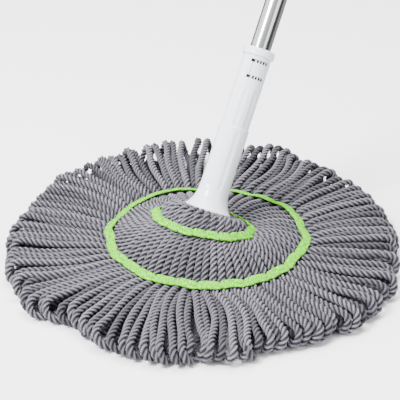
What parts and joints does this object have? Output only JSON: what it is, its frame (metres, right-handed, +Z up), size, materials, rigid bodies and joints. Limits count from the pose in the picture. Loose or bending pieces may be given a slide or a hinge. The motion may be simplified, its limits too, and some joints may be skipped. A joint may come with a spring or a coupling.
{
  "type": "twist mop",
  "caption": "Self-wringing mop with a leaning steel pole, a white sliding sleeve and a spread head of looped grey cords with sewn green bands.",
  "frame": {"origin": "on the floor, straight below the middle of the hub's underside", "axes": "+Z up; the pole leans 32.9 degrees from +Z, on a heading 55.1 degrees from +X towards +Y"},
  "size_m": [0.6148, 0.7692, 1.091],
  "materials": {
    "steel": "polished stainless steel",
    "white_plastic": "white moulded plastic",
    "panel_plastic": "pale grey plastic",
    "ring_plastic": "blue-grey plastic",
    "inner_plastic": "dark grey plastic",
    "zinc_steel": "zinc-plated steel",
    "green_band": "woven lime green tape",
    "microfibre": "grey twisted microfibre cord"
  },
  "bodies": {
    "pole": {"pole_lower_tube": "steel", "pole_upper_tube": "steel", "joint_socket": "inner_plastic", "joint_stud": "inner_plastic", "hang_cap": "inner_plastic", "foot_plug": "inner_plastic", "base_disc": "inner_plastic", "base_screw": "zinc_steel", "clamp_ring": "inner_plastic", "clamp_screws": "zinc_steel", "strand_roots": "microfibre", "strand_pad": "microfibre", "stop_ring": "ring_plastic", "seat_ring": "inner_plastic"},
    "slider": {"lower_guide_bush": "inner_plastic", "upper_guide_bush": "inner_plastic", "ratchet_wheel": "inner_plastic"},
    "sleeve": {"sleeve_tube": "white_plastic", "sleeve_cap": "white_plastic", "bell_collar": "white_plastic", "collar_ring": "inner_plastic", "strand_roll": "microfibre"},
    "lock": {"lock_panel": "panel_plastic", "lock_spring": "zinc_steel"},
    "upper_01": {"strands_upper_01": "microfibre", "bands_01": "green_band"},
    "lower_01": {"strands_lower_01": "microfibre"},
    "upper_02": {"strands_upper_02": "microfibre", "bands_02": "green_band"},
    "lower_02": {"strands_lower_02": "microfibre"},
    "upper_03": {"strands_upper_03": "microfibre", "bands_03": "green_band"},
    "lower_03": {"strands_lower_03": "microfibre"},
    "upper_04": {"strands_upper_04": "microfibre", "bands_04": "green_band"},
    "lower_04": {"strands_lower_04": "microfibre"},
    "upper_05": {"strands_upper_05": "microfibre", "bands_05": "green_band"},
    "lower_05": {"strands_lower_05": "microfibre"},
    "upper_06": {"strands_upper_06": "microfibre", "bands_06": "green_band"},
    "lower_06": {"strands_lower_06": "microfibre"},
    "upper_07": {"strands_upper_07": "microfibre", "bands_07": "green_band"},
    "lower_07": {"strands_lower_07": "microfibre"},
    "upper_08": {"strands_upper_08": "microfibre", "bands_08": "green_band"},
    "lower_08": {"strands_lower_08": "microfibre"},
    "upper_09": {"strands_upper_09": "microfibre", "bands_09": "green_band"},
    "lower_09": {"strands_lower_09": "microfibre"},
    "upper_10": {"strands_upper_10": "microfibre", "bands_10": "green_band"},
    "lower_10": {"strands_lower_10": "microfibre"},
    "upper_11": {"strands_upper_11": "microfibre", "bands_11": "green_band"},
    "lower_11": {"strands_lower_11": "microfibre"},
    "upper_12": {"strands_upper_12": "microfibre", "bands_12": "green_band"},
    "lower_12": {"strands_lower_12": "microfibre"}
  },
  "joints": [
    {"name": "sleeve_slide", "type": "slide", "parent": "pole", "child": "slider", "axis": [0.3108, 0.4455, 0.8396], "range_m": [0, 0.312]},
    {"name": "sleeve_twist", "type": "hinge", "parent": "slider", "child": "sleeve", "pos_m": [0, 0, 0.02], "axis": [0.3108, 0.4455, 0.8396], "continuous": true},
    {"name": "lock_press", "type": "slide", "parent": "sleeve", "child": "lock", "axis": [-0.3022, 0.8838, -0.3571], "range_m": [0, 0.001], "stiffness_N_per_m": 400, "springref_m": -0.001},
    {"name": "fold_01", "type": "hinge", "parent": "slider", "child": "upper_01", "pos_m": [0.03338, 0.01165, 0.04196], "axis": [0, 0.8834, -0.4687], "range_deg": [-1, 80.55], "deforming": ["strands_upper_01", "bands_01"]},
    {"name": "tip_01", "type": "hinge", "parent": "upper_01", "child": "lower_01", "pos_m": [0.20388, -0.00517, 0.01025], "axis": [0, 0.8834, -0.4687], "range_deg": [-139.52, 1], "deforming": ["strands_lower_01"]},
    {"name": "fold_02", "type": "hinge", "parent": "slider", "child": "upper_02", "pos_m": [0.03022, 0.02289, 0.03716], "axis": [-0.4822, 0.8351, -0.2646], "range_deg": [-1, 90.19], "deforming": ["strands_upper_02", "bands_02"]},
    {"name": "tip_02", "type": "hinge", "parent": "upper_02", "child": "lower_02", "pos_m": [0.18385, 0.10305, 0.01025], "axis": [-0.4822, 0.8351, -0.2646], "range_deg": [-132.27, 1], "deforming": ["strands_lower_02"]},
    {"name": "fold_03", "type": "hinge", "parent": "slider", "child": "upper_03", "pos_m": [0.02004, 0.03298, 0.03558], "axis": [-0.8647, 0.4992, 0.0552], "range_deg": [-1, 91.73], "deforming": ["strands_upper_03", "bands_03"]},
    {"name": "tip_03", "type": "hinge", "parent": "upper_03", "child": "lower_03", "pos_m": [0.10676, 0.18599, 0.01025], "axis": [-0.8647, 0.4992, 0.0552], "range_deg": [-127.62, 1], "deforming": ["strands_lower_03"]},
    {"name": "fold_04", "type": "hinge", "parent": "slider", "child": "upper_04", "pos_m": [0.00685, 0.03663, 0.03852], "axis": [-0.9378, 0, 0.3471], "range_deg": [-1, 83.73], "deforming": ["strands_upper_04", "bands_04"]},
    {"name": "tip_04", "type": "hinge", "parent": "upper_04", "child": "lower_04", "pos_m": [-0.00361, 0.21403, 0.01025], "axis": [-0.9378, 0, 0.3471], "range_deg": [-126.29, 1], "deforming": ["strands_lower_04"]},
    {"name": "fold_05", "type": "hinge", "parent": "slider", "child": "upper_05", "pos_m": [-0.00353, 0.03397, 0.04378], "axis": [-0.7472, -0.4314, 0.5055], "range_deg": [-1, 69.12], "deforming": ["strands_upper_05", "bands_05"]},
    {"name": "tip_05", "type": "hinge", "parent": "upper_05", "child": "lower_05", "pos_m": [-0.10973, 0.17864, 0.01025], "axis": [-0.7472, -0.4314, 0.5055], "range_deg": [-127.11, 1], "deforming": ["strands_lower_05"]},
    {"name": "fold_06", "type": "hinge", "parent": "slider", "child": "upper_06", "pos_m": [-0.00989, 0.02766, 0.04948], "axis": [-0.4203, -0.7279, 0.5418], "range_deg": [-1, 52.2], "deforming": ["strands_upper_06", "bands_06"]},
    {"name": "tip_06", "type": "hinge", "parent": "upper_06", "child": "lower_06", "pos_m": [-0.17833, 0.0957, 0.01025], "axis": [-0.4203, -0.7279, 0.5418], "range_deg": [-128.79, 1], "deforming": ["strands_lower_06"]},
    {"name": "fold_07", "type": "hinge", "parent": "slider", "child": "upper_07", "pos_m": [-0.01225, 0.01864, 0.05514], "axis": [0, -0.8834, 0.4687], "range_deg": [-1, 36.69], "deforming": ["strands_upper_07", "bands_07"]},
    {"name": "tip_07", "type": "hinge", "parent": "upper_07", "child": "lower_07", "pos_m": [-0.19412, -0.00517, 0.01025], "axis": [0, -0.8834, 0.4687], "range_deg": [-130.78, 1], "deforming": ["strands_lower_07"]},
    {"name": "fold_08", "type": "hinge", "parent": "slider", "child": "upper_08", "pos_m": [-0.00909, 0.0074, 0.05993], "axis": [0.4822, -0.8351, 0.2646], "range_deg": [-1, 26.21], "deforming": ["strands_upper_08", "bands_08"]},
    {"name": "tip_08", "type": "hinge", "parent": "upper_08", "child": "lower_08", "pos_m": [-0.16083, -0.09595, 0.01025], "axis": [0.4822, -0.8351, 0.2646], "range_deg": [-133.28, 1], "deforming": ["strands_lower_08"]},
    {"name": "fold_09", "type": "hinge", "parent": "slider", "child": "upper_09", "pos_m": [0.0011, -0.00269, 0.06152], "axis": [0.8647, -0.4992, -0.0552], "range_deg": [-1, 24.53], "deforming": ["strands_upper_09", "bands_09"]},
    {"name": "tip_09", "type": "hinge", "parent": "upper_09", "child": "lower_09", "pos_m": [-0.09224, -0.15868, 0.01025], "axis": [0.8647, -0.4992, -0.0552], "range_deg": [-136.96, 1], "deforming": ["strands_lower_09"]},
    {"name": "fold_10", "type": "hinge", "parent": "slider", "child": "upper_10", "pos_m": [0.01428, -0.00634, 0.05857], "axis": [0.9378, 0, -0.3471], "range_deg": [-1, 33.07], "deforming": ["strands_upper_10", "bands_10"]},
    {"name": "tip_10", "type": "hinge", "parent": "upper_10", "child": "lower_10", "pos_m": [-0.00361, -0.18397, 0.01025], "axis": [0.9378, 0, -0.3471], "range_deg": [-142, 1], "deforming": ["strands_lower_10"]},
    {"name": "fold_11", "type": "hinge", "parent": "slider", "child": "upper_11", "pos_m": [0.02466, -0.00368, 0.05332], "axis": [0.7472, 0.4314, -0.5055], "range_deg": [-1, 48.73], "deforming": ["strands_upper_11", "bands_11"]},
    {"name": "tip_11", "type": "hinge", "parent": "upper_11", "child": "lower_11", "pos_m": [0.08927, -0.16604, 0.01025], "axis": [0.7472, 0.4314, -0.5055], "range_deg": [-146.38, 1], "deforming": ["strands_lower_11"]},
    {"name": "fold_12", "type": "hinge", "parent": "slider", "child": "upper_12", "pos_m": [0.03103, 0.00264, 0.04761], "axis": [0.4203, 0.7279, -0.5418], "range_deg": [-1, 65.97], "deforming": ["strands_upper_12", "bands_12"]},
    {"name": "tip_12", "type": "hinge", "parent": "upper_12", "child": "lower_12", "pos_m": [0.16635, -0.1033, 0.01025], "axis": [0.4203, 0.7279, -0.5418], "range_deg": [-145.81, 1], "deforming": ["strands_lower_12"]}
  ],
  "couplings": [
    {"joint": "fold_01", "follows": "sleeve_slide", "rad_per_m": 4.4501},
    {"joint": "tip_01", "follows": "sleeve_slide", "rad_per_m": -7.7491},
    {"joint": "fold_02", "follows": "sleeve_slide", "rad_per_m": 4.9891},
    {"joint": "tip_02", "follows": "sleeve_slide", "rad_per_m": -7.343},
    {"joint": "fold_03", "follows": "sleeve_slide", "rad_per_m": 5.0752},
    {"joint": "tip_03", "follows": "sleeve_slide", "rad_per_m": -7.0833},
    {"joint": "fold_04", "follows": "sleeve_slide", "rad_per_m": 4.628},
    {"joint": "tip_04", "follows": "sleeve_slide", "rad_per_m": -7.0089},
    {"joint": "fold_05", "follows": "sleeve_slide", "rad_per_m": 3.8107},
    {"joint": "tip_05", "follows": "sleeve_slide", "rad_per_m": -7.0545},
    {"joint": "fold_06", "follows": "sleeve_slide", "rad_per_m": 2.8642},
    {"joint": "tip_06", "follows": "sleeve_slide", "rad_per_m": -7.1485},
    {"joint": "fold_07", "follows": "sleeve_slide", "rad_per_m": 1.9967},
    {"joint": "tip_07", "follows": "sleeve_slide", "rad_per_m": -7.2602},
    {"joint": "fold_08", "follows": "sleeve_slide", "rad_per_m": 1.4105},
    {"joint": "tip_08", "follows": "sleeve_slide", "rad_per_m": -7.3997},
    {"joint": "fold_09", "follows": "sleeve_slide", "rad_per_m": 1.3161},
    {"joint": "tip_09", "follows": "sleeve_slide", "rad_per_m": -7.6054},
    {"joint": "fold_10", "follows": "sleeve_slide", "rad_per_m": 1.794},
    {"joint": "tip_10", "follows": "sleeve_slide", "rad_per_m": -7.8877},
    {"joint": "fold_11", "follows": "sleeve_slide", "rad_per_m": 2.6702},
    {"joint": "tip_11", "follows": "sleeve_slide", "rad_per_m": -8.1327},
    {"joint": "fold_12", "follows": "sleeve_slide", "rad_per_m": 3.6345},
    {"joint": "tip_12", "follows": "sleeve_slide", "rad_per_m": -8.1008}
  ]
}
